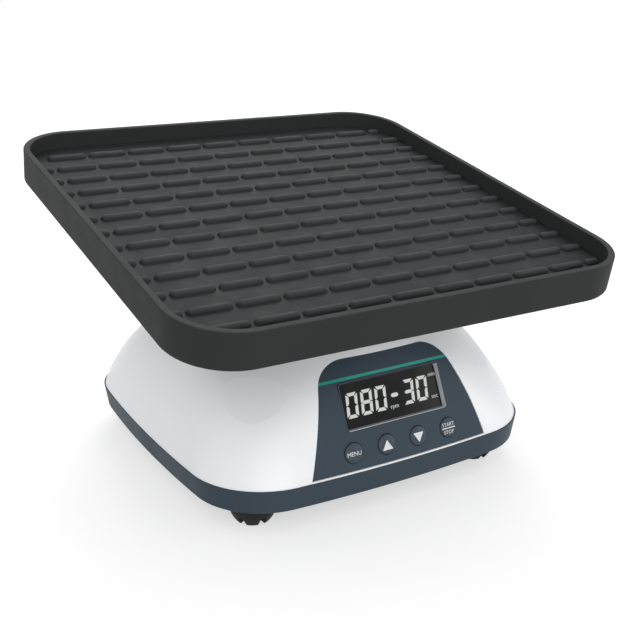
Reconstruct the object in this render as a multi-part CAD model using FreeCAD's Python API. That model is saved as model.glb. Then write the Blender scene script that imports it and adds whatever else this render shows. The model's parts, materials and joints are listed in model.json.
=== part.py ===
import FreeCAD
import Part
import math
import os

V = FreeCAD.Vector

# All sizes are in millimetres. Z points up, the floor is z = 0 and the control panel faces -Y.

# Stand: rubber feet, dark lower housing and white cover
foot_height = 13.0
foot_radius = 12.0
foot_tip_radius = 8.2
foot_inset = 28.55
foot_notches = 6
foot_notch_width = 3.2
foot_notch_height = 4.2
base_height = 12.0
base_half = 94.05
base_draft = 1.7
base_wall = 2.6
side_bow = 6.15
corner_radius = 38.0
seam_z = foot_height + base_height
foot_offset = base_half - foot_inset

# White cover: sides that lean in more and more, blending from a rounded square to a round top
rim_step = 0.45
cover_rise = 74.0
cover_wall = 4.0
lean = 0.2157
lean_growth = 0.00484
corner_growth = 1.29
top_opening_radius = 30.0
top_edge_radius = 49.5
top_wall = 6.0
cover_top = seam_z + cover_rise

# Control panel, measured up a plane that touches the front at the display's middle
face_slope = math.radians(64.5)
face_middle = 28.65
panel_centre = 1.2
panel_half = 50.6
panel_taper = 0.305
panel_height = 55.3
panel_top_dip = 1.1
panel_corner = 16.0
panel_strip = 0.9
panel_recess = 0.5
panel_thickness = 2.0
panel_gap = 0.15
stripe_low = 44.6
stripe_width = 1.35
stripe_depth = 0.5
stripe_proud = 0.1

# Display
display_centre = 1.5
display_low = 21.2
display_width = 56.2
display_height = 22.1
display_corner = 1.6
bezel_edge = 0.3
bezel_inset = 0.6
bezel_sink = 1.0
bezel_depth = 2.2
lens_thickness = 1.5
display_gap = 0.05

# Push buttons and the board behind them
button_radius = 4.8
button_gap = 0.2
button_level = 11.1
button_pitch = 18.1
button_first = -25.6
button_proud = 0.6
button_round = 0.5
button_travel = 0.8
button_flange = 1.2
stem_depth = 7.0
board_depth = 15.0
board_thickness = 1.6
board_half = 42.0
board_low = 4.0
board_high = 46.0
board_post_inset = 4.0

# Drive
chassis_z = 34.0
chassis_thickness = 3.0
chassis_half = 56.0
chassis_front = -50.0
chassis_back = 64.0
chassis_post_x = 46.0
chassis_post_front = -40.0
chassis_post_back = 54.0
shaft_radius = 4.0
running_gap = 0.03
bearing_radius = 11.0
bearing_width = 7.0
tower_radius = 16.0
tower_flange = 22.0
tower_top = 92.0
motor_distance = 42.0
motor_radius = 18.5
motor_height = 38.0
motor_shaft_radius = 3.0
belt_ratio = 3.0
large_pulley_radius = 19.05
small_pulley_radius = large_pulley_radius / belt_ratio
pulley_flange = 2.6
belt_z = 25.0
belt_width = 6.0
belt_thickness = 1.5
belt_gap = 0.35

# Tilting platform: its frame sits on the point that stays still while the tray wobbles.
# At rest the tray leans to the front, turned a little to the right.
pivot_z = 116.2
tilt = math.radians(10.41)
tilt_turn = math.radians(3.27)
tray_width = 235.0
tray_depth = 236.8
tray_corner = 30.0
tray_wall = 3.4
tray_rim_round = 0.6
tray_low_round = 2.0
tray_height = 18.0
mat_level = 11.0
mat_thickness = 2.0
rim_above_mat = 8.75
tray_floor = 3.0
mat_gap = 0.3
rib_radius = 2.6
rib_sink = 0.4
rib_row_pitch = 16.46
rib_pitch = 22.7
rib_break = 1.5
rib_break_shift = -1.8
rib_end_gap = 0.4
rib_rows = int((tray_depth - 2 * tray_wall) / rib_row_pitch)
rib_breaks = round((tray_width - 2 * tray_wall) / rib_pitch)
carrier_half = 62.0
carrier_thickness = 3.0
hub_radius = 20.0
hub_drop = 9.0
wobble_bearing_radius = 14.0
wobble_bearing_width = 8.0
stub_radius = 6.0
guide_pin_radius = 2.5
guide_pin_level = -4.0
guide_inner = 24.0
guide_outer = 28.0
guide_slot = 3.9
guide_top = 116.4

# Rear switch and power inlet
rear_level = 31.7
inlet_side = 20.0
inlet_radius = 5.5
inlet_flange = 8.0
switch_side = -22.0
switch_width = 19.0
switch_height = 13.0
switch_depth = 16.0
rocker_gap = 0.8
rocker_axis = -1.5
rocker_pin_radius = 1.2

screw_radius = 1.75
screw_gap = 0.05


def at(x, y, z):
    """Placement that only moves."""
    return FreeCAD.Placement(V(x, y, z), FreeCAD.Rotation())


def placed(shape, frame):
    """Copy of a shape carried into another frame."""
    moved = shape.copy()
    moved.Placement = frame.multiply(moved.Placement)
    return moved


def side_lean(h):
    """How far the middle of a side has leaned in at height h above the seam."""
    return rim_step + lean * h + lean_growth * h * h


def slope_frame(side):
    """Frame on the sloping front (side = -1) or back (side = 1): x across, y up the slope, z outward."""
    c = math.cos(face_slope)
    s = math.sin(face_slope)
    start = side * (base_half - side_lean(face_middle) + face_middle / math.tan(face_slope))
    m = FreeCAD.Matrix(-side, 0, 0, 0, 0, -side * c, side * s, start, 0, s, c, seam_z, 0, 0, 0, 1)
    return FreeCAD.Placement(m)


def tray_frame():
    """Frame of the tilted tray: origin at the still point, z along the tray's normal."""
    axis = V(math.cos(tilt_turn), math.sin(tilt_turn), 0)
    return FreeCAD.Placement(V(0, 0, pivot_z), FreeCAD.Rotation(axis, math.degrees(tilt)))


def cylinder(radius, z0, z1, x=0.0, y=0.0):
    return Part.makeCylinder(radius, z1 - z0, V(x, y, z0))


def tube(outer, inner, z0, z1, x=0.0, y=0.0):
    return cylinder(outer, z0, z1, x, y).cut(cylinder(inner, z0 - 1, z1 + 1, x, y))


def box(x0, x1, y0, y1, z0, z1):
    return Part.makeBox(x1 - x0, y1 - y0, z1 - z0, V(x0, y0, z0))


def rounded_box(width, depth, radius, z0, z1):
    """Upright block with rounded corners, centred on the z axis."""
    block = box(-width / 2, width / 2, -depth / 2, depth / 2, z0, z1)
    upright = [e for e in block.Edges if abs(e.BoundBox.ZLength - (z1 - z0)) < 1e-6]
    return block.makeFillet(radius, upright)


def edges_at(shape, z):
    """Edges that lie flat at one height."""
    return [e for e in shape.Edges if abs(e.BoundBox.ZMin - z) < 1e-4 and abs(e.BoundBox.ZMax - z) < 1e-4]


def one(shape):
    """The single solid of a result."""
    if len(shape.Solids) != 1:
        raise ValueError("expected one solid, found %d" % len(shape.Solids))
    return shape.Solids[0]


def bowed_square(half, bow, radius, z):
    """Closed outline with four outward-bowed sides and rounded corners."""
    side_radius = (half * half + bow * bow) / (2 * bow)
    k = side_radius - half
    c = (math.sqrt(2 * (side_radius - radius) ** 2 - k * k) - k) / 2
    reach = side_radius / (side_radius - radius)
    tx = c * reach
    ty = k - (c + k) * reach
    tip = c + radius / math.sqrt(2)
    edges = []
    for i in range(4):
        turn = FreeCAD.Rotation(V(0, 0, 1), 90 * i)
        side = [turn.multVec(V(x, y, z)) for x, y in ((-tx, ty), (0, -half), (tx, ty))]
        corner = [turn.multVec(V(x, y, z)) for x, y in ((tx, ty), (tip, -tip), (-ty, -tx))]
        edges.append(Part.Arc(*side).toShape())
        edges.append(Part.Arc(*corner).toShape())
    return Part.Wire(edges)


def cover_section(h, inset):
    """Outline of the cover at height h above the seam, drawn in by inset."""
    thickness = inset * math.hypot(1.0, lean + 2 * lean_growth * h)
    half = base_half - side_lean(h) - thickness
    radius = corner_radius + corner_growth * side_lean(h) - thickness
    return bowed_square(half, side_bow, min(radius, 0.97 * half), seam_z + h)


def cover_body(inset, low, high, steps=9):
    """Smooth solid inside the cover's outer face, drawn in by inset."""
    heights = [low + (high - low) * i / (steps - 1) for i in range(steps)]
    return Part.makeLoft([cover_section(h, inset) for h in heights], True, False)


def panel_prism(grow, z_floor):
    """Panel outline pushed through the sloping front, cut off level along its lower edge."""
    low = -6.0
    high = panel_height + grow
    half_low = panel_half + grow - panel_taper * low
    half_high = panel_half + grow - panel_taper * high
    mid = panel_centre
    corners = [V(mid - half_low, low, 0), V(mid + half_low, low, 0), V(mid + half_high, high, 0)]
    end = V(mid - half_high, high, 0)
    dip = V(mid, high - panel_top_dip, 0)
    edges = [Part.makeLine(corners[0], corners[1]), Part.makeLine(corners[1], corners[2])]
    edges.append(Part.Arc(corners[2], dip, end).toShape())
    edges.append(Part.makeLine(end, corners[0]))
    prism = Part.Face(Part.Wire(edges)).extrude(V(0, 0, 14))
    upright = [e for e in prism.Edges if e.BoundBox.ZLength > 13 and e.BoundBox.YMin > high - 1]
    prism = prism.makeFillet(panel_corner + grow, upright)
    prism.translate(V(0, 0, -8))
    below = box(-200, 200, -200, 200, seam_z - 60, z_floor)
    return placed(prism, slope_frame(-1)).cut(below)


def button_places():
    """Button centres across the slope, and how far the curved front falls behind its plane there."""
    across = base_half * base_half / (2 * side_bow)
    upward = math.sin(face_slope) ** -3 / (2 * lean_growth)
    from_middle = button_level - face_middle / math.sin(face_slope)
    places = []
    for i in range(4):
        u = button_first + button_pitch * i
        places.append((u, -u * u / (2 * across) - from_middle ** 2 / (2 * upward)))
    return places


def display_block(grow, z0, z1):
    """Block with rounded corners in the display's place, in the front slope's frame."""
    block = rounded_box(display_width + 2 * grow, display_height + 2 * grow, display_corner + grow, z0, z1)
    block.translate(V(display_centre, display_low + display_height / 2, 0))
    return block


def outline_at(shape, z):
    """Outer wire of the flat face at one height."""
    flat = [f for f in shape.Faces if abs(f.BoundBox.ZMin - z) < 1e-6 and f.BoundBox.ZLength < 1e-6]
    return flat[0].OuterWire


def bottom_housing():
    upper = bowed_square(base_half, side_bow, corner_radius, seam_z)
    lower = bowed_square(base_half - base_draft, side_bow, corner_radius - base_draft, foot_height)
    shell = Part.makeLoft([lower, upper], True, True)
    shell = shell.makeFillet(1.2, edges_at(shell, foot_height))
    inner_low = base_half - base_draft - base_wall
    inner_top = bowed_square(base_half - base_wall, side_bow, corner_radius - base_wall, seam_z + 0.5)
    inner_radius = corner_radius - base_draft - base_wall
    inner_floor = bowed_square(inner_low, side_bow, inner_radius, foot_height + base_wall)
    shell = shell.cut(Part.makeLoft([inner_floor, inner_top], True, True))
    posts = []
    for x, y in foot_places():
        posts.append(cylinder(5.5, foot_height, seam_z, x, y))
    for x, y in chassis_places():
        posts.append(cylinder(5.0, foot_height, chassis_z, x, y))
    shell = shell.fuse(posts)
    bore = screw_radius + screw_gap
    holes = [cylinder(bore, 0, seam_z + 1, x, y) for x, y in foot_places()]
    holes += [cylinder(bore, chassis_z - 10, chassis_z + 1, x, y) for x, y in chassis_places()]
    return one(shell.cut(holes).removeSplitter())


def foot_places():
    return [(x * foot_offset, y * foot_offset) for x in (-1, 1) for y in (-1, 1)]


def chassis_places():
    return [(x * chassis_post_x, y) for x in (-1, 1) for y in (chassis_post_front, chassis_post_back)]


def top_cover():
    outer = cover_body(0.0, 0.0, cover_rise)
    drop = 2 * base_half
    bevel = Part.makeCone(top_edge_radius + drop, top_edge_radius, drop, V(0, 0, cover_top - drop))
    outer = outer.common(bevel)
    hollow = cover_body(cover_wall, -2.0, cover_rise - top_wall)
    shell = outer.cut(hollow.common(placed(bevel, at(0, 0, -top_wall))))
    shell = shell.cut(cylinder(top_opening_radius, cover_top - 20, cover_top + 5))
    front = slope_frame(-1)
    back = slope_frame(1)
    posts = [cylinder(5.0, seam_z, seam_z + 30, x, y) for x, y in foot_places()]
    board_posts = []
    for u in (-board_half + board_post_inset, board_half - board_post_inset):
        for v in (board_low + board_post_inset, board_high - board_post_inset):
            board_posts.append(placed(cylinder(2.5, -board_depth, -cover_wall + 1.0, u, v), front))
    keep = cover_body(1.0, -14.0, cover_rise)
    shell = shell.fuse([p.common(keep) for p in posts + board_posts])
    pocket = panel_prism(panel_gap, seam_z + panel_strip - panel_gap)
    pocket = pocket.cut(cover_body(panel_recess + panel_thickness, -4.0, cover_rise - 8.0))
    cuts = [pocket, placed(display_block(bezel_edge + display_gap, -9, 3), front)]
    for u, rise in button_places():
        cuts.append(placed(cylinder(button_radius + button_gap, -9, 3, u, button_level), front))
    cuts += [cylinder(screw_radius + screw_gap, seam_z - 1, seam_z + 20, x, y) for x, y in foot_places()]
    cuts.append(placed(cylinder(inlet_radius + screw_gap, -9, 3, inlet_side, rear_level), back))
    cuts.append(placed(switch_block(screw_gap, -9, 3), back))
    return one(shell.cut(cuts))


def foot(x, y):
    tip = V(foot_tip_radius, 0, 0)
    bulge = V(foot_radius - 1.1, 0, 4.6)
    shoulder = V(foot_radius, 0, 9.0)
    upper = V(foot_radius, 0, foot_height)
    profile = [Part.makeLine(V(0, 0, 0), tip), Part.Arc(tip, bulge, shoulder).toShape()]
    profile += [Part.makeLine(shoulder, upper), Part.makeLine(upper, V(0, 0, foot_height))]
    profile.append(Part.makeLine(V(0, 0, foot_height), V(0, 0, 0)))
    body = Part.Face(Part.Wire(profile)).revolve(V(0, 0, 0), V(0, 0, 1), 360)
    cuts = [cylinder(4.0, -1, 5.0), cylinder(screw_radius + screw_gap, -1, foot_height + 1)]
    for i in range(foot_notches):
        half = foot_notch_width / 2
        notch = box(5.2, foot_radius + 2, -half, half, -1, foot_notch_height)
        notch.rotate(V(0, 0, 0), V(0, 0, 1), 360.0 * (i + 0.5) / foot_notches)
        cuts.append(notch)
    return placed(one(body.cut(cuts)), at(x, y, 0))


def foot_screws():
    screws = []
    for x, y in foot_places():
        shank = cylinder(screw_radius, 4.0, seam_z + 18, x, y)
        screws.append(shank.fuse(cylinder(3.2, 2.6, 5.0, x, y)))
    return Part.makeCompound(screws)


def control_panel():
    z_floor = seam_z + panel_strip
    face = cover_body(panel_recess, -4.0, cover_rise - 8.0)
    behind = cover_body(panel_recess + panel_thickness, -4.0, cover_rise - 8.0)
    plate = panel_prism(0.0, z_floor).common(face).cut(behind)
    front = slope_frame(-1)
    cuts = [placed(display_block(bezel_edge + display_gap, -9, 3), front)]
    for u, rise in button_places():
        cuts.append(placed(cylinder(button_radius + button_gap, -9, 3, u, button_level), front))
    cuts.append(stripe_band().cut(cover_body(panel_recess + stripe_depth, -4.0, cover_rise - 8.0)))
    return one(plate.cut(cuts))


def stripe_band():
    """Slab across the slope at the stripe's height."""
    slab = box(-panel_half, panel_half, stripe_low, stripe_low + stripe_width, -6, 4)
    return placed(slab, slope_frame(-1))


def accent_stripe():
    face = cover_body(panel_recess - stripe_proud, -4.0, cover_rise - 8.0)
    behind = cover_body(panel_recess + stripe_depth, -4.0, cover_rise - 8.0)
    strip = stripe_band().common(panel_prism(0.0, seam_z + panel_strip))
    return one(strip.common(face).cut(behind))


def display_bezel():
    top = -bezel_sink
    bottom = top - bezel_depth
    mouth = outline_at(display_block(0.0, top, top + 1), top)
    foot_of_wall = outline_at(display_block(-bezel_inset, bottom, top), bottom)
    frame = display_block(bezel_edge, bottom, top).cut(Part.makeLoft([foot_of_wall, mouth], True, True))
    return placed(one(frame), slope_frame(-1))


def display_lens():
    top = -bezel_sink - bezel_depth
    return placed(display_block(bezel_edge, top - lens_thickness, top), slope_frame(-1))


def lcd_module():
    top = -bezel_sink - bezel_depth - lens_thickness
    return placed(display_block(bezel_edge, -board_depth, top), slope_frame(-1))


def control_board():
    back = -board_depth - board_thickness
    board = box(-board_half, board_half, board_low, board_high, back, -board_depth)
    return placed(board, slope_frame(-1))


def tact_switches():
    switches = []
    for u, rise in button_places():
        body = box(u - 3, u + 3, button_level - 3, button_level + 3, -board_depth, -board_depth + 3.5)
        top = rise - stem_depth - button_travel - 0.1
        plunger = cylinder(1.75, -board_depth + 3.5, top, u, button_level)
        switches.append(placed(body.fuse(plunger), slope_frame(-1)))
    return Part.makeCompound(switches)


def button(index):
    u, rise = button_places()[index]
    under = rise - cover_wall - button_flange
    cap = cylinder(button_radius, rise - stem_depth, 3.0, u, button_level)
    flange = cylinder(button_radius + button_flange, under - 0.8, under, u, button_level)
    face = cover_body(panel_recess - button_proud, -4.0, cover_rise - 8.0)
    body = one(placed(cap.fuse(flange), slope_frame(-1)).common(face))
    outward = slope_frame(-1).Rotation.multVec(V(0, 0, 1))
    rim = max(body.Edges, key=lambda edge: edge.CenterOfMass.dot(outward))
    return one(body.makeFillet(button_round, [rim]))


def chassis_plate():
    z1 = chassis_z + chassis_thickness
    plate = box(-chassis_half, chassis_half, chassis_front, chassis_back, chassis_z, z1)
    cuts = [cylinder(8.0, chassis_z - 1, z1 + 1), cylinder(5.0, chassis_z - 1, z1 + 1, 0, motor_distance)]
    cuts += [cylinder(screw_radius + screw_gap, chassis_z - 1, z1 + 1, x, y) for x, y in chassis_places()]
    return one(plate.cut(cuts))


def chassis_screws():
    z1 = chassis_z + chassis_thickness
    screws = []
    for x, y in chassis_places():
        shank = cylinder(screw_radius, chassis_z - 8, z1 + 1, x, y)
        screws.append(shank.fuse(cylinder(3.2, z1, z1 + 2.6, x, y)))
    return Part.makeCompound(screws)


def bearing_tower():
    z0 = chassis_z + chassis_thickness
    tower = cylinder(tower_radius, z0, tower_top).fuse(cylinder(tower_flange, z0, z0 + 4))
    cuts = [cylinder(bearing_radius, z0 - 1, z0 + bearing_width)]
    cuts.append(cylinder(bearing_radius, tower_top - bearing_width, tower_top + 1))
    cuts.append(cylinder(shaft_radius + 4, z0, tower_top))
    return one(tower.cut(cuts))


def ball_bearing(outer, inner, width):
    """Closed bearing with a shallow ring groove in each face."""
    body = tube(outer, inner, 0, width)
    groove = 0.4
    middle = (outer + inner) / 2
    spread = (outer - inner) / 4
    lower = tube(middle + spread, middle - spread, -1, groove)
    upper = tube(middle + spread, middle - spread, width - groove, width + 1)
    return one(body.cut([lower, upper]))


def shaft_bearing(z0):
    return placed(ball_bearing(bearing_radius, shaft_radius + running_gap, bearing_width), at(0, 0, z0))


def motor_body():
    z0 = chassis_z + chassis_thickness
    can = cylinder(motor_radius, z0, z0 + motor_height, 0, motor_distance)
    can = can.makeFillet(1.5, edges_at(can, z0 + motor_height))
    ring = tube(motor_radius + 1, motor_radius - 0.5, z0 + 20, z0 + 21, 0, motor_distance)
    cap = cylinder(6.0, z0 + motor_height, z0 + motor_height + 3, 0, motor_distance)
    bore = cylinder(motor_shaft_radius + running_gap, z0 - 1, z0 + 16, 0, motor_distance)
    return one(can.cut(ring).fuse(cap).cut(bore))


def motor_shaft():
    return cylinder(motor_shaft_radius, belt_z - 7, chassis_z + chassis_thickness + 15, 0, motor_distance)


def pulley(radius, bore, y):
    """Flanged belt pulley."""
    half = belt_width / 2 + 1
    body = cylinder(radius, belt_z - half, belt_z + half, 0, y)
    body = body.fuse(cylinder(radius + pulley_flange, belt_z - half - 1.2, belt_z - half, 0, y))
    body = body.fuse(cylinder(radius + pulley_flange, belt_z + half, belt_z + half + 1.2, 0, y))
    return one(body.cut(cylinder(bore, belt_z - 20, belt_z + 20, 0, y)).removeSplitter())


def belt_loop(grow, z0, z1):
    """Block bounded by the belt's path around both pulleys."""
    big = large_pulley_radius + grow
    small = small_pulley_radius + grow
    lean = math.asin((big - small) / motor_distance)
    c = math.cos(lean)
    s = math.sin(lean)
    points = [V(big * c, big * s, z0), V(small * c, motor_distance + small * s, z0)]
    points += [V(-small * c, motor_distance + small * s, z0), V(-big * c, big * s, z0)]
    edges = [Part.makeLine(points[0], points[1])]
    edges.append(Part.Arc(points[1], V(0, motor_distance + small, z0), points[2]).toShape())
    edges.append(Part.makeLine(points[2], points[3]))
    edges.append(Part.Arc(points[3], V(0, -big, z0), points[0]).toShape())
    return Part.Face(Part.Wire(edges)).extrude(V(0, 0, z1 - z0))


def drive_belt():
    low = belt_z - belt_width / 2
    high = belt_z + belt_width / 2
    return one(belt_loop(belt_gap + belt_thickness, low, high).cut(belt_loop(belt_gap, low - 1, high + 1)))


def spindle():
    return cylinder(shaft_radius, belt_z - 6, tower_top + 5)


def wobble_hub():
    block = cylinder(13.0, tower_top + 1, tower_top + 7.5)
    shoulder = -wobble_bearing_width
    boss = placed(cylinder(8.5, shoulder - 12.8, shoulder - 0.2), tray_frame())
    stub = placed(cylinder(stub_radius, shoulder - 2, 1.2), tray_frame())
    hub = block.fuse([boss, stub]).cut(cylinder(shaft_radius, tower_top - 5, tower_top + 5))
    return one(hub)


def guide_collar():
    """Ring on the cover's top with an upright fork that keeps the tray from turning."""
    ring = tube(top_opening_radius + 6, tower_radius + 1, cover_top, cover_top + 2)
    skirt = tube(top_opening_radius - 0.2, top_opening_radius - 3, cover_top - cover_wall, cover_top + 1)
    prongs = []
    for side in (-1, 1):
        x0 = side * guide_slot
        x1 = side * (guide_slot + 3.4)
        prongs.append(box(min(x0, x1), max(x0, x1), guide_inner, guide_outer, cover_top + 1, guide_top))
    return one(ring.fuse([skirt] + prongs).removeSplitter())


def tray_low():
    """Height of the tray's lower edge in its own frame."""
    return mat_level + rim_above_mat - tray_height


def floor_top():
    return mat_level - mat_thickness


def tray_shell():
    low = tray_low()
    high = mat_level + rim_above_mat
    body = rounded_box(tray_width, tray_depth, tray_corner, low, high)
    body = body.makeFillet(tray_low_round, edges_at(body, low))
    w = tray_width - 2 * tray_wall
    d = tray_depth - 2 * tray_wall
    r = tray_corner - tray_wall
    body = body.cut(rounded_box(w, d, r, floor_top(), high + 1))
    body = body.cut(rounded_box(w, d, r, low - 1, floor_top() - tray_floor))
    body = body.makeFillet(tray_rim_round, edges_at(body, high))
    holes = [cylinder(screw_radius + screw_gap, 0, 20, x, y) for x, y in tray_screw_places()]
    return placed(one(body.cut(holes)), tray_frame())


def tray_screw_places():
    reach = carrier_half - 8
    return [(x * reach, y * reach) for x in (-1, 1) for y in (-1, 1)]


def rib(x0, x1, y):
    """Rod with round ends, sunk a little under the mat's face."""
    r = rib_radius
    z = mat_level - rib_sink
    bend = r * math.sqrt(0.5)
    start = V(x0, y, z)
    stop = V(x1, y, z)
    first = V(x0 + r, y, z + r)
    last = V(x1 - r, y, z + r)
    edges = [Part.Arc(start, V(x0 + r - bend, y, z + bend), first).toShape()]
    edges.append(Part.makeLine(first, last))
    edges.append(Part.Arc(last, V(x1 - r + bend, y, z + bend), stop).toShape())
    edges.append(Part.makeLine(stop, start))
    return Part.Face(Part.Wire(edges)).revolve(start, V(1, 0, 0), 360)


def tray_mat():
    w = tray_width - 2 * tray_wall - 2 * mat_gap
    d = tray_depth - 2 * tray_wall - 2 * mat_gap
    r = tray_corner - tray_wall - mat_gap
    mat = rounded_box(w, d, r, floor_top(), mat_level)
    ribs = []
    for row in range(rib_rows):
        y = (row - (rib_rows - 1) / 2) * rib_row_pitch
        into_corner = max(0.0, abs(y) + rib_radius - (d / 2 - r))
        end = w / 2 - r + math.sqrt(r * r - into_corner * into_corner) - rib_end_gap
        breaks = [(i - (rib_breaks - 1) / 2) * rib_pitch + rib_break_shift for i in range(rib_breaks)]
        starts = [-end] + [b + rib_break / 2 for b in breaks]
        stops = [b - rib_break / 2 for b in breaks] + [end]
        for x0, x1 in zip(starts, stops):
            if x1 - x0 > 3 * rib_radius:
                ribs.append(rib(x0, x1, y))
    below = box(-tray_width, tray_width, -tray_depth, tray_depth, mat_level - 10, floor_top())
    return placed(one(mat.fuse(ribs).cut(below)), tray_frame())


def carrier_top():
    return floor_top() - tray_floor


def carrier_plate():
    top = carrier_top()
    plate = rounded_box(2 * carrier_half, 2 * carrier_half, 12, top - carrier_thickness, top)
    notch = guide_slot + 5
    cuts = [box(-notch, notch, guide_inner - 3, guide_outer + 3, top - 20, top + 1)]
    for side in (-1, 1):
        cuts.append(cylinder(14, top - 20, top + 1, 40 * side, 0))
    cuts.append(cylinder(14, top - 20, top + 1, 0, -40))
    cuts += [cylinder(screw_radius + screw_gap, 0, 20, x, y) for x, y in tray_screw_places()]
    return placed(one(plate.cut(cuts)), tray_frame())


def carrier_hub():
    top = carrier_top() - carrier_thickness
    hub = cylinder(hub_radius, -hub_drop, top)
    cuts = [cylinder(wobble_bearing_radius, -hub_drop - 1, 0), cylinder(8.0, -1, top + 1), guide_rod()]
    return placed(one(hub.cut(cuts)), tray_frame())


def guide_rod():
    """Radial pin in the tray's frame, pointing to the back."""
    start = wobble_bearing_radius + 1.5
    reach = guide_outer + 0.5 - start
    return Part.makeCylinder(guide_pin_radius, reach, V(0, start, guide_pin_level), V(0, 1, 0))


def guide_pin():
    return placed(guide_rod(), tray_frame())


def wobble_bearing():
    body = ball_bearing(wobble_bearing_radius, stub_radius + running_gap, wobble_bearing_width)
    return placed(placed(body, at(0, 0, -wobble_bearing_width)), tray_frame())


def tray_screws():
    low = carrier_top() - carrier_thickness
    screws = []
    for x, y in tray_screw_places():
        shank = cylinder(screw_radius, low - 1, floor_top(), x, y)
        screws.append(placed(shank.fuse(cylinder(3.0, low - 2, low, x, y)), tray_frame()))
    return Part.makeCompound(screws)


def driver_board():
    z0 = chassis_z + chassis_thickness
    board = box(26, 52, -32, 16, z0 + 4, z0 + 5.6)
    legs = [cylinder(2.2, z0, z0 + 4.5, x, y) for x in (29, 49) for y in (-29, 13)]
    return one(board.fuse(legs))


def switch_block(grow, z0, z1):
    """Block in the rear switch's place, in the back slope's frame."""
    w = switch_width / 2 + grow
    h = switch_height / 2 + grow
    return box(switch_side - w, switch_side + w, rear_level - h, rear_level + h, z0, z1)


def rocker_pin(grow):
    """Pin across the switch that the rocker turns on, in the back slope's frame."""
    reach = switch_width / 2 - 1.0 + grow
    start = V(switch_side - reach, rear_level, rocker_axis)
    return Part.makeCylinder(rocker_pin_radius + grow, 2 * reach, start, V(1, 0, 0))


def switch_frame():
    body = switch_block(0.0, -switch_depth, 1.0).fuse(switch_block(1.5, 0.0, 1.6))
    body = body.cut([switch_block(-2.0, -7.0, 3.0), rocker_pin(screw_gap)])
    return placed(one(body.removeSplitter()), slope_frame(1))


def power_rocker():
    body = switch_block(-2.0 - rocker_gap, -3.5, 3.0)
    edges = [e for e in body.Edges if abs(e.BoundBox.XLength - body.BoundBox.XLength) < 1e-6]
    return placed(one(body.makeFillet(0.8, edges).fuse(rocker_pin(0.0))), slope_frame(1))


def power_inlet():
    body = cylinder(inlet_radius, -14, 1, inlet_side, rear_level)
    body = body.fuse(cylinder(inlet_flange, 0.0, 1.6, inlet_side, rear_level))
    body = body.cut(cylinder(3.2, -9, 3, inlet_side, rear_level))
    body = body.fuse(cylinder(1.0, -10, 0.5, inlet_side, rear_level))
    return placed(one(body.removeSplitter()), slope_frame(1))


nodes = {
    "bottom_housing": bottom_housing(),
    "top_cover": top_cover(),
    "foot_screws": foot_screws(),
    "control_panel": control_panel(),
    "accent_stripe": accent_stripe(),
    "display_bezel": display_bezel(),
    "display_lens": display_lens(),
    "lcd_module": lcd_module(),
    "control_board": control_board(),
    "tact_switches": tact_switches(),
    "chassis_plate": chassis_plate(),
    "chassis_screws": chassis_screws(),
    "bearing_tower": bearing_tower(),
    "lower_bearing": shaft_bearing(chassis_z + chassis_thickness),
    "upper_bearing": shaft_bearing(tower_top - bearing_width),
    "motor_body": motor_body(),
    "motor_shaft": motor_shaft(),
    "motor_pulley": pulley(small_pulley_radius, motor_shaft_radius, motor_distance),
    "drive_belt": drive_belt(),
    "driven_pulley": pulley(large_pulley_radius, shaft_radius, 0.0),
    "spindle": spindle(),
    "wobble_hub": wobble_hub(),
    "guide_collar": guide_collar(),
    "driver_board": driver_board(),
    "switch_frame": switch_frame(),
    "power_rocker": power_rocker(),
    "power_inlet": power_inlet(),
    "tray_shell": tray_shell(),
    "tray_mat": tray_mat(),
    "carrier_plate": carrier_plate(),
    "carrier_hub": carrier_hub(),
    "wobble_bearing": wobble_bearing(),
    "guide_pin": guide_pin(),
    "tray_screws": tray_screws(),
}
for index, name in enumerate(("menu", "up", "down", "start_stop")):
    nodes[name + "_button"] = button(index)
for (x, y) in foot_places():
    side = "left" if x < 0 else "right"
    end = "front" if y < 0 else "rear"
    nodes["foot_%s_%s" % (end, side)] = foot(x, y)

# The tilted tray's middle stands off the upright axis, so the whole part moves to centre its overall box
tray_middle = tray_frame().multVec(V(0, 0, tray_low() + tray_height / 2))
centring = V(-tray_middle.x, -tray_middle.y, 0)
os.makedirs("parts", exist_ok=True)
for name, shape in nodes.items():
    shape.translate(centring)
    shape.exportStep("parts/%s.step" % name)
    print(name, len(shape.Solids), round(shape.Volume / 1000, 2), "cm3", shape.isValid())
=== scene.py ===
import json
import math

import bpy
from mathutils import Matrix, Vector
from mathutils.bvhtree import BVHTree


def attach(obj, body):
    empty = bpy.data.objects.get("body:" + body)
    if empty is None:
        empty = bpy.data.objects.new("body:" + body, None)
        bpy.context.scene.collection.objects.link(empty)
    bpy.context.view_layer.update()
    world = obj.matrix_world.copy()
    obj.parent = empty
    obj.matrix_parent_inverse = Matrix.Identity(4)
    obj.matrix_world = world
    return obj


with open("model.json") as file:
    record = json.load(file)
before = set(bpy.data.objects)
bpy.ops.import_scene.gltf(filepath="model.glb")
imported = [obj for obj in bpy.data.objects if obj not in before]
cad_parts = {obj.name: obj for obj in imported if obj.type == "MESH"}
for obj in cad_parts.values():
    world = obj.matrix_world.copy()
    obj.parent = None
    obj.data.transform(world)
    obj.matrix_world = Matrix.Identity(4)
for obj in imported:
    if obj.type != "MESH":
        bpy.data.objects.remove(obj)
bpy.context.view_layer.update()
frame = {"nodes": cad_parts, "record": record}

MM = 0.001

# Taken from the frame: the still point of the drive and the tray's upward direction
JOINTS = {joint["name"]: joint for joint in frame["record"]["behaviour"]["joints"]}
PIVOT = Vector(JOINTS["hub_spin"]["pos_m"])
TRAY_NORMAL = Vector(JOINTS["tray_wobble"]["axis"])

# Sloping front and back, in millimetres; places on them are across and up the slope from the seam
FACE_SLOPE = math.radians(64.5)
FACE_START = 97.113
SEAM_Z = 25.0
FRONT = -1
BACK = 1

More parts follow.
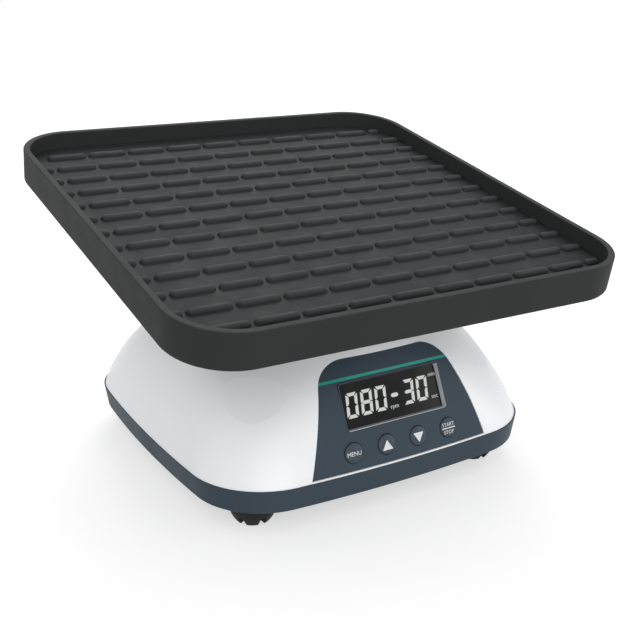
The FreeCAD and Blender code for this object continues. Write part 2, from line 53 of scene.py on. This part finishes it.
# Levels of the tray over the pivot, square to the tray, in millimetres
MAT_LEVEL = 11.0
RIB_HEIGHT = 2.2
RIM_LEVEL = 19.75

# Push buttons, display window and rear switch, in millimetres
BUTTON_LEVEL = 11.1
BUTTON_FIRST = -25.6
BUTTON_PITCH = 18.1
BUTTON_RADIUS = 4.8
BUTTON_DOME = 0.7
WINDOW_MIDDLE = (1.5, 32.25)
WINDOW_HALF = (28.1, 11.05)
BEZEL_EDGE = 0.6
PAINT_BLEND = 0.05
REAR_LEVEL = 31.7
SWITCH_SIDE = -22.0

# Camera that matches the photograph
CAMERA_AT = (-0.256331, -0.440866, 0.250006)
CAMERA_DOWN = 0.344437
CAMERA_TURN = -0.541477
CAMERA_ROLL = 0.005753
CAMERA_LENS = 57.327
CAMERA_NEAR = 0.01
SENSOR_WIDTH = 36.0

# Stage: floor, even light from all round, and lamps (name, place, aim and size in metres, power in watts)
FLOOR_HALF = 9.0
FLOOR_PAPER = 0.6
FLOOR_LIFT = 0.55
WORLD_LIGHT = 0.73
WORLD_SEEN = 1.0
LAMPS = (
    ("key_lamp", (-1.0, -1.65, 1.0), (0, 0, 0.05), 1.4, 8.2),
    ("back_lamp", (0.7, 1.2, 1.7), (0, 0, 0.12), 1.3, 15.0),
    ("side_lamp", (1.5, -1.3, 0.45), (0, 0, 0.06), 1.1, 5.2),
    ("low_lamp", (-0.35, -1.9, 0.22), (0, 0, 0.09), 1.0, 7.5),
)

# Textures: features per metre, and the parts of a noise's range that are spread out
DRIFT_SCALE = 17.0
FLECK_SCALE = 310.0
WEAR_SCALE = 95.0
GLOSS_SCALE = 60.0
MIDDLE_BAND = (0.3, 0.7)
WIDE_BAND = (0.25, 0.75)
SMUDGE_BAND = (0.3, 0.75)
SPECK_BAND = (0.62, 0.78)
SPECK_MOST = 0.35
WEAR_BAND = (0.35, 0.75)
WHITE = (1, 1, 1, 1)

# Edges count as worn where the rounded normal leaves the face's own by these cosines
EDGE_TURN = (0.985, 0.86)
EDGE_SAMPLES = 6

# Painted highlights on the rim's top and on the rib tops: depth in millimetres under the rim's top, and
# shares of a rib's height
RIM_HIGHLIGHT_DEPTHS = (0.45, 0.1)
CREST_HIGHLIGHT_SHARES = (0.35, 0.85)
CREST_HIGHLIGHT_LIFT = 1.85


def face_frame(side):
    """Origin, across, up and outward of the sloping front or back, in metres."""
    c = math.cos(FACE_SLOPE)
    s = math.sin(FACE_SLOPE)
    origin = Vector((PIVOT.x, PIVOT.y + side * FACE_START * MM, SEAM_Z * MM))
    return origin, Vector((-side, 0, 0)), Vector((0, -side * c, s)), Vector((0, side * s, c))


def linear(r, g, b):
    """Linear colour from 0-255 screen values."""
    out = []
    for value in (r, g, b):
        c = value / 255.0
        out.append(c / 12.92 if c <= 0.04045 else ((c + 0.055) / 1.055) ** 2.4)
    return (out[0], out[1], out[2], 1.0)


def scaled(colour, factor):
    return (colour[0] * factor, colour[1] * factor, colour[2] * factor, 1.0)


class Shader:
    """One node material with short calls to add and link nodes."""

    def __init__(self, name):
        self.material = bpy.data.materials.new(name)
        self.material.use_nodes = True
        self.tree = self.material.node_tree
        self.bsdf = self.tree.nodes["Principled BSDF"]
        self.place = self.add("ShaderNodeTexCoord").outputs["Object"]

    def add(self, kind, **settings):
        node = self.tree.nodes.new(kind)
        for key, value in settings.items():
            setattr(node, key, value)
        return node

    def link(self, source, target):
        self.tree.links.new(source, target)

    def noise(self, scale, detail=3.0, rough=0.55, place=None):
        node = self.add("ShaderNodeTexNoise")
        node.inputs["Scale"].default_value = scale
        node.inputs["Detail"].default_value = detail
        node.inputs["Roughness"].default_value = rough
        self.link(place or self.place, node.inputs["Vector"])
        return node.outputs["Fac"]

    def ramp(self, source, low, high, to_low=0.0, to_high=1.0):
        node = self.add("ShaderNodeMapRange")
        for key, value in zip(("From Min", "From Max", "To Min", "To Max"), (low, high, to_low, to_high)):
            node.inputs[key].default_value = value
        self.link(source, node.inputs["Value"])
        return node.outputs["Result"]

    def math(self, operation, a, b):
        node = self.add("ShaderNodeMath", operation=operation)
        for socket, value in zip(node.inputs, (a, b)):
            if isinstance(value, (int, float)):
                socket.default_value = value
            else:
                self.link(value, socket)
        return node.outputs["Value"]

    def mix(self, factor, a, b):
        node = self.add("ShaderNodeMix", data_type="RGBA")
        self.link(factor, node.inputs[0])
        for socket, value in ((node.inputs[6], a), (node.inputs[7], b)):
            if isinstance(value, tuple):
                socket.default_value = value
            else:
                self.link(value, socket)
        return node.outputs[2]

    def along(self, direction):
        """Place measured along a direction, in metres."""
        node = self.add("ShaderNodeVectorMath", operation="DOT_PRODUCT")
        self.link(self.place, node.inputs[0])
        node.inputs[1].default_value = direction
        return node.outputs["Value"]

    def soft_edges(self, radius):
        """Normal that rounds sharp edges a little."""
        node = self.add("ShaderNodeBevel", samples=EDGE_SAMPLES)
        node.inputs["Radius"].default_value = radius
        return node.outputs["Normal"]

    def edge_mask(self, soft_normal):
        """1 on worn edges, 0 on open faces."""
        geometry = self.add("ShaderNodeNewGeometry")
        dot = self.add("ShaderNodeVectorMath", operation="DOT_PRODUCT")
        self.link(soft_normal, dot.inputs[0])
        self.link(geometry.outputs["Normal"], dot.inputs[1])
        return self.ramp(dot.outputs["Value"], *EDGE_TURN)

    def bumped(self, height, distance, strength, normal=None):
        """Normal tilted by a height."""
        node = self.add("ShaderNodeBump")
        node.inputs["Strength"].default_value = strength
        node.inputs["Distance"].default_value = distance
        self.link(height, node.inputs["Height"])
        if normal is not None:
            self.link(normal, node.inputs["Normal"])
        return node.outputs["Normal"]

    def finish(self, colour, rough, normal=None, **values):
        """Links colour, roughness and normal, sets the plain values and gives the material."""
        self.link(colour, self.bsdf.inputs["Base Color"])
        self.link(rough, self.bsdf.inputs["Roughness"])
        if normal is not None:
            self.link(normal, self.bsdf.inputs["Normal"])
        names = {"specular": "Specular IOR Level", "coat": "Coat Weight", "coat_rough": "Coat Roughness",
                 "metal": "Metallic", "anisotropic": "Anisotropic"}
        for key, value in values.items():
            self.bsdf.inputs[names[key]].default_value = value
        return self.material


def above(shader, low, high):
    """0 below the first level of the tray and 1 above the second."""
    zero = TRAY_NORMAL.dot(PIVOT)
    return shader.ramp(shader.along(TRAY_NORMAL), zero + low * MM, zero + high * MM)


def dome_height(shader):
    """0 at the middle of each push button, falling to -1 at its edge."""
    origin, across, up, outward = face_frame(FRONT)
    first_edge = origin.dot(across) + (BUTTON_FIRST - BUTTON_PITCH / 2) * MM
    side = shader.math("SUBTRACT", shader.along(across), first_edge)
    side = shader.math("FLOORED_MODULO", side, BUTTON_PITCH * MM)
    side = shader.math("SUBTRACT", side, BUTTON_PITCH / 2 * MM)
    rise = shader.math("SUBTRACT", shader.along(up), origin.dot(up) + BUTTON_LEVEL * MM)
    squares = []
    for distance in (side, rise):
        share = shader.math("DIVIDE", distance, BUTTON_RADIUS * MM)
        squares.append(shader.math("MULTIPLY", share, share))
    return shader.math("SUBTRACT", 0.0, shader.math("ADD", squares[0], squares[1]))


def moulded(name, colour, rough, grain, depth, spread=0.05, wear=0.25, round_edge=0.3, strength=0.35,
            rim_highlight_lift=None, dome=0.0, **settings):
    """Moulded plastic or rubber: fine grain, slow colour drift, uneven gloss and lighter worn edges.

    depth, round_edge and dome are in millimetres; the rim factor lightens the tray's rim top as a painted
    highlight.
    """
    shader = Shader(name)
    soft = shader.soft_edges(round_edge * MM)
    fine = shader.noise(grain, 4.0, 0.6)
    drift = shader.ramp(shader.noise(DRIFT_SCALE), *MIDDLE_BAND)
    tone = shader.mix(drift, scaled(colour, 1.0 - spread), scaled(colour, 1.0 + spread))
    speck = shader.ramp(shader.noise(FLECK_SCALE, 2.0), *SPECK_BAND, 0.0, SPECK_MOST)
    tone = shader.mix(speck, tone, scaled(colour, 1.0 + 2.0 * spread))
    # Painted highlight: the tray's rim top is lightened where light from above catches it
    if rim_highlight_lift:
        rim = above(shader, RIM_LEVEL - RIM_HIGHLIGHT_DEPTHS[0], RIM_LEVEL - RIM_HIGHLIGHT_DEPTHS[1])
        tone = shader.mix(rim, tone, scaled(colour, rim_highlight_lift))
    patchy = shader.ramp(shader.noise(WEAR_SCALE), *WEAR_BAND)
    worn = shader.math("MULTIPLY", shader.edge_mask(soft), patchy)
    worn = shader.math("MULTIPLY", worn, wear)
    pale = tuple(min(1.0, c * 1.5 + 0.035) for c in colour[:3]) + (1.0,)
    tone = shader.mix(worn, tone, pale)
    gloss = shader.ramp(shader.noise(GLOSS_SCALE), *WIDE_BAND, rough - 0.05, rough + 0.05)
    if dome:
        soft = shader.bumped(dome_height(shader), dome * MM, 1.0, soft)
    return shader.finish(tone, gloss, shader.bumped(fine, depth * MM, strength, soft), **settings)


def mat_rubber(name, colour):
    """Matt rubber whose rib tops carry a painted highlight, lighter in uneven patches."""
    shader = Shader(name)
    low, high = [MAT_LEVEL + share * RIB_HEIGHT for share in CREST_HIGHLIGHT_SHARES]
    crest_highlight = above(shader, low, high)
    patchy = shader.ramp(shader.noise(120.0), *MIDDLE_BAND, 0.55, 1.0)
    crest_highlight = shader.math("MULTIPLY", crest_highlight, patchy)
    drift = shader.ramp(shader.noise(21.0), *MIDDLE_BAND)
    tone = shader.mix(drift, scaled(colour, 0.93), scaled(colour, 1.07))
    # Painted highlight: the rib tops are lightened where light from above falls on them
    tone = shader.mix(crest_highlight, tone, scaled(colour, CREST_HIGHLIGHT_LIFT))
    gloss = shader.ramp(shader.noise(75.0), *WIDE_BAND, 0.5, 0.64)
    fine = shader.noise(1900.0, 4.0, 0.65)
    normal = shader.bumped(fine, 0.05 * MM, 0.3, shader.soft_edges(0.35 * MM))
    return shader.finish(tone, gloss, normal, specular=0.085)


def metal(name, colour, rough, stretch, anisotropic):
    """Bare metal with fine drawn or turned lines and a few duller patches."""
    shader = Shader(name)
    mapping = shader.add("ShaderNodeMapping")
    mapping.inputs["Scale"].default_value = stretch
    shader.link(shader.place, mapping.inputs["Vector"])
    lines = shader.noise(900.0, 3.0, 0.6, mapping.outputs["Vector"])
    dull = shader.ramp(shader.noise(45.0), *MIDDLE_BAND)
    tone = shader.mix(dull, scaled(colour, 0.86), colour)
    gloss = shader.ramp(lines, *WIDE_BAND, rough - 0.07, rough + 0.09)
    normal = shader.bumped(lines, 0.01 * MM, 0.25, shader.soft_edges(0.2 * MM))
    return shader.finish(tone, gloss, normal, metal=1.0, anisotropic=anisotropic)


def display_glass(name):
    """Black window with a clean gloss and a trace of smudges."""
    shader = Shader(name)
    smudge = shader.noise(110.0, 4.0)
    patches = shader.ramp(smudge, *SMUDGE_BAND)
    tone = shader.mix(patches, (0.0052, 0.0054, 0.0056, 1), (0.0082, 0.0083, 0.0085, 1))
    gloss = shader.ramp(smudge, *SMUDGE_BAND, 0.07, 0.16)
    normal = shader.bumped(shader.noise(60.0, 2.0), 0.01 * MM, 0.1)
    return shader.finish(tone, gloss, normal, specular=0.16)


def bezel_plastic(name, face, wall):
    """Satin plastic in the panel's slate except on its right inner wall and its lower wall and rim, which are
    pale grey; the slate top wall is painted shade and the pale lower rim a painted highlight.
    """
    shader = Shader(name)
    origin, across, up, outward = face_frame(FRONT)
    wide, high = WINDOW_HALF
    middle_x, middle_y = WINDOW_MIDDLE
    edge = BEZEL_EDGE + PAINT_BLEND
    # Slate on the right rim, on the left wall and on the top wall; the slate top wall is painted shade, and
    # the pale lower rim is a painted highlight
    limits = ((across, middle_x, wide, wide + PAINT_BLEND),
              (across, middle_x, edge - wide, BEZEL_EDGE - wide),
              (up, middle_y, high - edge, high - BEZEL_EDGE))
    painted = 0.0
    for direction, middle, start, full in limits:
        zero = origin.dot(direction) + middle * MM
        part = shader.ramp(shader.along(direction), zero + start * MM, zero + full * MM)
        painted = shader.math("MAXIMUM", painted, part)
    uneven = shader.ramp(shader.noise(240.0), *MIDDLE_BAND)
    pale = shader.mix(uneven, scaled(wall, 0.94), scaled(wall, 1.05))
    dark = shader.mix(uneven, scaled(face, 0.94), scaled(face, 1.06))
    tone = shader.mix(painted, pale, dark)
    gloss = shader.ramp(shader.noise(90.0), *WIDE_BAND, 0.32, 0.44)
    fine = shader.noise(1500.0, 4.0, 0.6)
    normal = shader.bumped(fine, 0.02 * MM, 0.2, shader.soft_edges(0.08 * MM))
    return shader.finish(tone, gloss, normal, specular=0.3)


def lit_print(name, colour, rough, glow):
    """Pale print or lit display segments, slightly uneven."""
    shader = Shader(name)
    uneven = shader.noise(800.0)
    tone = shader.mix(shader.ramp(uneven, *MIDDLE_BAND), scaled(colour, 0.93), colour)
    gloss = shader.ramp(uneven, 0.2, 0.8, rough - 0.06, rough + 0.06)
    if glow:
        shader.link(tone, shader.bsdf.inputs["Emission Color"])
        shader.bsdf.inputs["Emission Strength"].default_value = glow
    return shader.finish(tone, gloss, specular=0.25)


SLATE = linear(62, 73, 83)
SLATE_LOOK = {"grain": 1700.0, "depth": 0.03, "wear": 0.28, "strength": 0.3}
slots = {
    "cover_white": moulded("cover_white_finish", linear(242, 243, 245), rough=0.34, grain=1500.0, depth=0.02,
                           spread=0.012, wear=0.1, round_edge=0.4, strength=0.16,
                           specular=0.42, coat=0.12, coat_rough=0.2),
    "slate": moulded("slate_finish", SLATE, rough=0.46, specular=0.08, **SLATE_LOOK),
    "teal": moulded("teal_finish", linear(34, 150, 134), rough=0.36, grain=1500.0, depth=0.01,
                    spread=0.04, wear=0.1, round_edge=0.1, strength=0.2, specular=0.35),
    # Tray: charcoal with a painted highlight on its rim top
    "tray_charcoal": moulded("tray_charcoal_finish", linear(48, 49, 49), rough=0.58, grain=1300.0, depth=0.05,
                             spread=0.06, wear=0.3, round_edge=0.4, strength=0.4,
                             rim_highlight_lift=1.4, specular=0.07),
    "mat_rubber": mat_rubber("mat_rubber_finish", linear(46, 47, 48)),
    "foot_rubber": moulded("foot_rubber_finish", linear(15, 15, 16), rough=0.62, grain=1100.0, depth=0.06,
                           spread=0.1, wear=0.2, round_edge=0.4, strength=0.45, specular=0.3),
    "bezel_grey": bezel_plastic("bezel_grey_finish", SLATE, linear(186, 189, 193)),
    "display_glass": display_glass("display_glass_finish"),
    "black_plastic": moulded("black_plastic_finish", linear(30, 30, 32), rough=0.46, grain=1400.0, depth=0.04,
                             spread=0.08, wear=0.3, strength=0.35, specular=0.38),
    "board_green": moulded("board_green_finish", linear(22, 88, 54), rough=0.4, grain=700.0, depth=0.03,
                           spread=0.12, wear=0.1, round_edge=0.2, strength=0.3),
    "steel": metal("steel_finish", (0.56, 0.57, 0.59, 1), 0.3, (1.0, 1.0, 14.0), 0.35),
    "alloy": metal("alloy_finish", (0.66, 0.67, 0.69, 1), 0.38, (1.0, 9.0, 9.0), 0.2),
    "belt_rubber": moulded("belt_rubber_finish", linear(28, 28, 28), rough=0.66, grain=900.0, depth=0.08,
                           spread=0.1, wear=0.2, strength=0.5),
}
BUTTONS = moulded("button_finish", SLATE, rough=0.42, dome=BUTTON_DOME, specular=0.2, **SLATE_LOOK)
PRINT = lit_print("white_print_finish", linear(226, 228, 230), 0.45, 0.0)
SEGMENTS = lit_print("lit_segment_finish", linear(205, 207, 204), 0.4, 0.16)

for entry in frame["record"]["subparts"]:
    is_button = entry["node"].endswith("_button")
    for slot in frame["nodes"][entry["node"]].material_slots:
        slot.material = BUTTONS if is_button else slots[entry["material_slot"]]

# Flat marks: softened edge as a share of their thickness, height of a capital in a font of size 1, and the
# distance in metres from which a mark is dropped onto its face
EDGE_SHARE = 0.2
CAPITAL_SHARE = 0.729
DROP_FROM = 0.02


def flat_mesh(curve, thickness, edge):
    """Closed, softly edged mesh of a flat curve or of words."""
    curve.extrude = thickness / 2
    curve.bevel_depth = edge
    curve.bevel_resolution = 1
    curve.offset = -edge
    curve.resolution_u = 8
    holder = bpy.data.objects.new("holder", curve)
    bpy.context.scene.collection.objects.link(holder)
    bpy.context.view_layer.update()
    seen = holder.evaluated_get(bpy.context.evaluated_depsgraph_get())
    mesh = bpy.data.meshes.new_from_object(seen)
    bpy.data.objects.remove(holder)
    return mesh


def text_curve(text, size):
    curve = bpy.data.curves.new("word", "FONT")
    curve.body = text
    curve.size = size
    return curve


def word(text, height, thickness, across, up):
    """Points and faces of a word, centred at a place on its face; height is that of a capital."""
    xs = [v.co.x for v in flat_mesh(text_curve(text, 1.0), 0.0, 0.0).vertices]
    size = height / CAPITAL_SHARE
    mesh = flat_mesh(text_curve(text, size), thickness, thickness * EDGE_SHARE)
    middle = (min(xs) + max(xs)) / 2 * size
    points = [Vector((across + v.co.x - middle, up + v.co.y - height / 2, v.co.z)) for v in mesh.vertices]
    return points, [tuple(p.vertices) for p in mesh.polygons]


def outline(loops, thickness):
    """Points and faces of flat closed shapes."""
    curve = bpy.data.curves.new("outline", "CURVE")
    curve.dimensions = "2D"
    curve.fill_mode = "BOTH"
    for loop in loops:
        spline = curve.splines.new("POLY")
        spline.points.add(len(loop) - 1)
        for point, (x, y) in zip(spline.points, loop):
            point.co = (x, y, 0.0, 1.0)
        spline.use_cyclic_u = True
    mesh = flat_mesh(curve, thickness, thickness * EDGE_SHARE)
    return [v.co.copy() for v in mesh.vertices], [tuple(p.vertices) for p in mesh.polygons]


def box(middle_x, middle_y, half_x, half_y):
    """Loop of an upright rectangle."""
    corners = ((-1, -1), (1, -1), (1, 1), (-1, 1))
    return [(middle_x + half_x * i, middle_y + half_y * j) for i, j in corners]


def mark(name, body, node, material, side, shapes, lift):
    """Lays flat shapes on a node's outer face, following its curve, and rides them on a body."""
    origin, across, up, outward = face_frame(side)
    mesh = frame["nodes"][node].data
    tree = BVHTree.FromPolygons([v.co for v in mesh.vertices], [tuple(p.vertices) for p in mesh.polygons])
    points = []
    faces = []
    for shape_points, shape_faces in shapes:
        start = len(points)
        for p in shape_points:
            base = origin + across * p.x + up * p.y
            hit = tree.ray_cast(base + outward * DROP_FROM, -outward)[0]
            points.append(hit + outward * (p.z + lift))
        faces += [tuple(start + i for i in f) for f in shape_faces]
    piece_mesh = bpy.data.meshes.new(name)
    piece_mesh.from_pydata(points, [], faces)
    piece_mesh.materials.append(material)
    piece = bpy.data.objects.new(name, piece_mesh)
    bpy.context.scene.collection.objects.link(piece)
    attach(piece, body)


# Display: seven-segment digits, dash and units, in millimetres on the window
FILM = 0.06 * MM
FILM_LIFT = 0.02 * MM
DIGIT_TOP = 38.35
DIGIT_HEIGHT = 11.8
DIGIT_WIDTH = 6.35
DIGIT_SLANT = 0.125
DIGIT_TRIM = 0.3
DIGIT_PLACES = (("0", -22.9), ("8", -14.85), ("0", -6.9), ("3", 9.1), ("0", 17.05))
BAR = 1.6
BAR_GAP = 0.13
SEGMENTS_OF = {"0": "abcdef", "3": "abcdg", "8": "abcdefg"}
DASH_AT = (3.45, 32.5)
DASH_HALF = (2.05, 0.95)
DASH_CUT = (0.85, 0.6)
UNIT_HEIGHT = 2.1
UNITS = (("rpm", 2.2, 27.5), ("min", 26.5, 38.2), ("sec", 25.8, 27.6))


def flipped(loop, across, upright):
    """Loop of a digit mirrored in its box."""
    points = [(DIGIT_WIDTH - x if across else x, DIGIT_HEIGHT - y if upright else y) for x, y in loop]
    return points if across == upright else points[::-1]


def digit(number, left):
    """Mitred bars of one digit whose top left corner is at left."""
    w, h, b, g = DIGIT_WIDTH, DIGIT_HEIGHT, BAR, BAR_GAP
    trim = DIGIT_TRIM * b
    half = h / 2
    top = [(trim + g, h), (b + g, h - b), (w - b - g, h - b), (w - trim - g, h)]
    side = [(0, h - trim - g), (0, half + 2 * g), (b / 2, half + g), (b, half + b / 2 + g), (b, h - b - g)]
    middle = [(b / 2 + g, half), (b + g, half - b / 2), (w - b - g, half - b / 2), (w - b / 2 - g, half),
              (w - b - g, half + b / 2), (b + g, half + b / 2)]
    bars = {"a": top, "b": flipped(side, True, False), "c": flipped(side, True, True),
            "d": flipped(top, False, True), "e": flipped(side, False, True), "f": side, "g": middle}
    low = DIGIT_TOP - h
    loops = []
    for name in SEGMENTS_OF[number]:
        loops.append([((left + x + (y - h) * DIGIT_SLANT) * MM, (low + y) * MM) for x, y in bars[name]])
    return loops


def dash():
    """Bar with cut corners between the two numbers."""
    wide, high = DASH_HALF
    near_x, near_y = wide - DASH_CUT[0], high - DASH_CUT[1]
    lower = [(-wide, -near_y), (-near_x, -high), (near_x, -high), (wide, -near_y)]
    loop = lower + [(-x, -y) for x, y in lower]
    return [((DASH_AT[0] + x) * MM, (DASH_AT[1] + y) * MM) for x, y in loop]


def display_mark(name, shape):
    mark(name, "base", "display_lens", SEGMENTS, FRONT, [shape], FILM_LIFT)


for index, (number, left) in enumerate(DIGIT_PLACES):
    display_mark("lcd_digit_%d" % (index + 1), outline(digit(number, left), FILM))
display_mark("lcd_dash", outline([dash()], FILM))
for unit, across, up in UNITS:
    display_mark("lcd_" + unit, word(unit, UNIT_HEIGHT * MM, FILM, across * MM, up * MM))

# Button prints, in millimetres; their heights are from the middle of the button
INK = 0.05 * MM
INK_LIFT = 0.015 * MM
ARROW_HALF = 2.9
ARROW_RISE = 4.7
ARROW_CORNER = 0.3
CORNER_PULL = 0.3
PRINT_AT = -0.4
DOWN_ARROW_AT = -0.9
MENU_HEIGHT = 2.05
START_HEIGHT = 1.8
START_AT = 1.4
STOP_AT = -2.3
RULE_HALF = 3.9
RULE_WIDTH = 0.5


def button_across(index):
    return (BUTTON_FIRST + BUTTON_PITCH * index) * MM


def button_up(height):
    return (BUTTON_LEVEL + height) * MM


def arrow(index, flip, height):
    """Triangle with soft corners on a button, pointing up (flip = 1) or down (flip = -1)."""
    corners = [(-ARROW_HALF, -ARROW_RISE / 2), (ARROW_HALF, -ARROW_RISE / 2), (0.0, ARROW_RISE / 2)]
    loop = []
    for i, corner in enumerate(corners):
        here = Vector(corner)
        before = (Vector(corners[i - 1]) - here).normalized() * ARROW_CORNER
        after = (Vector(corners[(i + 1) % 3]) - here).normalized() * ARROW_CORNER
        loop += [here + before, here + (before + after) * CORNER_PULL, here + after]
    return [(button_across(index) + p.x * MM, button_up(height + flip * p.y)) for p in loop[::flip]]


def button_mark(name, button, shapes):
    mark(name, button, button, PRINT, FRONT, shapes, INK_LIFT)


def start_stop_shapes(index):
    """The words START and STOP with a rule between them."""
    middle = button_across(index)
    rule = box(middle, button_up(PRINT_AT), RULE_HALF * MM, RULE_WIDTH / 2 * MM)
    start = word("START", START_HEIGHT * MM, INK, middle, button_up(START_AT))
    stop = word("STOP", START_HEIGHT * MM, INK, middle, button_up(STOP_AT))
    return [start, outline([rule], INK), stop]


menu = word("MENU", MENU_HEIGHT * MM, INK, button_across(0), button_up(PRINT_AT))
button_mark("menu_label", "menu_button", [menu])
button_mark("up_arrow", "up_button", [outline([arrow(1, 1, PRINT_AT)], INK)])
button_mark("down_arrow", "down_button", [outline([arrow(2, -1, DOWN_ARROW_AT)], INK)])
button_mark("start_stop_label", "start_stop_button", start_stop_shapes(3))

# Rocker marks in millimetres from the rocker's middle: a bar for on and a ring for off
ON_BAR_AT = 1.75
ON_BAR_HALF = (0.2, 0.85)
OFF_RING_AT = -1.7
OFF_RING_RADII = (0.9, 0.55)
RING_POINTS = 28


def ring(radius, height):
    """Round loop on the rocker."""
    loop = []
    for i in range(RING_POINTS):
        turn = 2 * math.pi * i / RING_POINTS
        loop.append(((SWITCH_SIDE + radius * math.cos(turn)) * MM,
                     (REAR_LEVEL + height + radius * math.sin(turn)) * MM))
    return loop


on_bar = box(SWITCH_SIDE * MM, (REAR_LEVEL + ON_BAR_AT) * MM, ON_BAR_HALF[0] * MM, ON_BAR_HALF[1] * MM)
outer, inner = [ring(radius, OFF_RING_AT) for radius in OFF_RING_RADII]
for name, loops in (("rocker_on_mark", [on_bar]), ("rocker_off_mark", [outer, inner[::-1]])):
    mark(name, "power_rocker", "power_rocker", PRINT, BACK, [outline(loops, INK)], INK_LIFT)


def seen_directly(tree):
    """1 for rays that show the background: camera, mirror-like and see-through ones."""
    path = tree.nodes.new("ShaderNodeLightPath")
    total = path.outputs["Is Camera Ray"]
    for name in ("Is Glossy Ray", "Is Transmission Ray"):
        node = tree.nodes.new("ShaderNodeMath")
        node.operation = "MAXIMUM"
        tree.links.new(total, node.inputs[0])
        tree.links.new(path.outputs[name], node.inputs[1])
        total = node.outputs["Value"]
    return total


def floor_paper():
    """Pale paper that looks near white to the camera and keeps the object's shadow."""
    material = bpy.data.materials.new("floor_paper")
    material.use_nodes = True
    tree = material.node_tree
    tree.nodes.remove(tree.nodes["Principled BSDF"])
    paper = tree.nodes.new("ShaderNodeBsdfDiffuse")
    paper.inputs["Color"].default_value = (FLOOR_PAPER, FLOOR_PAPER, FLOOR_PAPER, 1)
    lift = tree.nodes.new("ShaderNodeEmission")
    lift.inputs["Color"].default_value = WHITE
    strength = tree.nodes.new("ShaderNodeMath")
    strength.operation = "MULTIPLY"
    strength.inputs[1].default_value = FLOOR_LIFT
    tree.links.new(seen_directly(tree), strength.inputs[0])
    tree.links.new(strength.outputs["Value"], lift.inputs["Strength"])
    both = tree.nodes.new("ShaderNodeAddShader")
    tree.links.new(paper.outputs["BSDF"], both.inputs[0])
    tree.links.new(lift.outputs["Emission"], both.inputs[1])
    tree.links.new(both.outputs["Shader"], tree.nodes["Material Output"].inputs["Surface"])
    return material


def lay_floor():
    mesh = bpy.data.meshes.new("floor")
    corners = [(x, y, 0) for x, y in box(0, 0, FLOOR_HALF, FLOOR_HALF)]
    mesh.from_pydata(corners, [], [(0, 1, 2, 3)])
    mesh.materials.append(floor_paper())
    floor = bpy.data.objects.new("floor", mesh)
    bpy.context.scene.collection.objects.link(floor)


def light_world():
    """White surroundings, dimmer for the light that falls on the object."""
    world = bpy.data.worlds.new("studio")
    bpy.context.scene.world = world
    world.use_nodes = True
    tree = world.node_tree
    backdrop = tree.nodes["Background"]
    backdrop.inputs["Color"].default_value = WHITE
    level = tree.nodes.new("ShaderNodeMapRange")
    level.inputs["To Min"].default_value = WORLD_LIGHT
    level.inputs["To Max"].default_value = WORLD_SEEN
    tree.links.new(seen_directly(tree), level.inputs["Value"])
    tree.links.new(level.outputs["Result"], backdrop.inputs["Strength"])


def lamp(name, place, target, size, power):
    """Large soft lamp aimed at a point."""
    data = bpy.data.lights.new(name, "AREA")
    data.shape = "DISK"
    data.size = size
    data.energy = power
    obj = bpy.data.objects.new(name, data)
    obj.location = place
    obj.rotation_euler = (Vector(target) - Vector(place)).to_track_quat("-Z", "Y").to_euler()
    bpy.context.scene.collection.objects.link(obj)


def set_camera():
    data = bpy.data.cameras.new("camera")
    data.sensor_width = SENSOR_WIDTH
    data.lens = CAMERA_LENS
    data.clip_start = CAMERA_NEAR
    camera = bpy.data.objects.new("camera", data)
    camera.location = CAMERA_AT
    aim = Matrix.Rotation(CAMERA_TURN, 3, "Z") @ Matrix.Rotation(math.pi / 2 - CAMERA_DOWN, 3, "X")
    camera.rotation_euler = (aim @ Matrix.Rotation(CAMERA_ROLL, 3, "Z")).to_euler()
    bpy.context.scene.collection.objects.link(camera)
    bpy.context.scene.camera = camera


lay_floor()
light_world()
for settings in LAMPS:
    lamp(*settings)
set_camera()
bpy.context.scene.view_settings.view_transform = "Standard"
